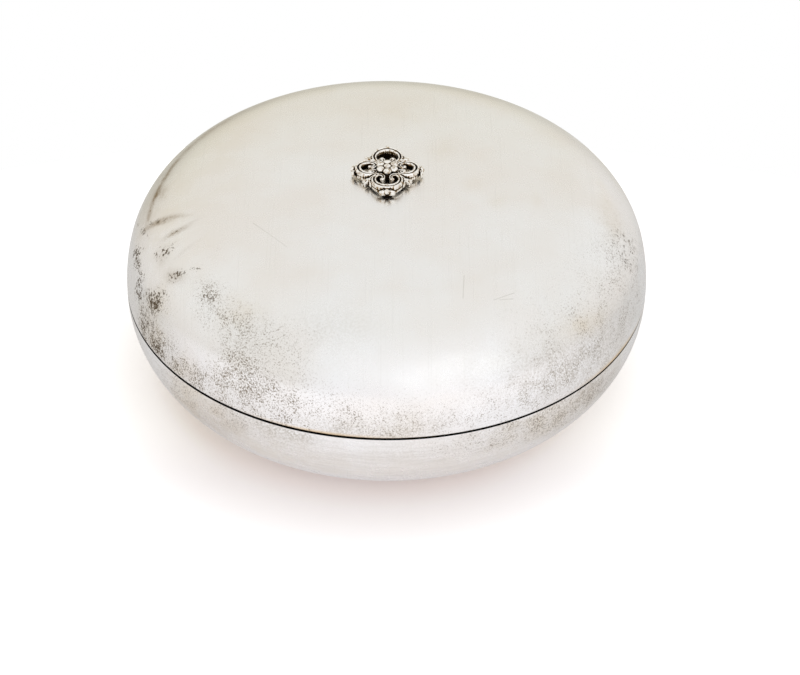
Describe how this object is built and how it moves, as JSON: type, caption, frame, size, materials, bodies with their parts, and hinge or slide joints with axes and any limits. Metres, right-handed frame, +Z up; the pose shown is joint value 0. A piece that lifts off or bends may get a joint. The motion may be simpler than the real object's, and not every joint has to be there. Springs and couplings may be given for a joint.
{
  "type": "round lidded box",
  "caption": "Bun-shaped round silver box: a flat-standing bowl with an inner collar, a lift-off domed lid and a cast openwork scroll ornament on top.",
  "frame": {"origin": "centre of the standing ring, on the surface that the box stands on", "axes": "+Z up along the axis of the box, which is the direction the lid lifts; the camera side of the picture is -Y; the ornament is longest along Y"},
  "size_m": [0.16, 0.16, 0.0746],
  "materials": {
    "worn_silver": "polished by hand, dulled, with fine scratches and speckled tarnish towards the rims",
    "gilt_silver": "thin worn gilding, satin",
    "oxidised_silver": "cast, bright on the high parts and blackened in the recesses",
    "brass": "turned, dull"
  },
  "bodies": {
    "base": {"base_bowl": "worn_silver", "base_rim_band": "gilt_silver", "base_collar": "gilt_silver"},
    "lid": {"lid_dome": "worn_silver", "lid_rim_band": "gilt_silver", "ornament": "oxidised_silver", "pin_washer_1": "brass", "pin_washer_2": "brass", "pin_nut_1": "brass", "pin_nut_2": "brass"}
  },
  "joints": [
    {"name": "lid_lift", "type": "slide", "parent": "base", "child": "lid", "axis": [0, 0, 1], "range_m": [0, 0.1]}
  ]
}
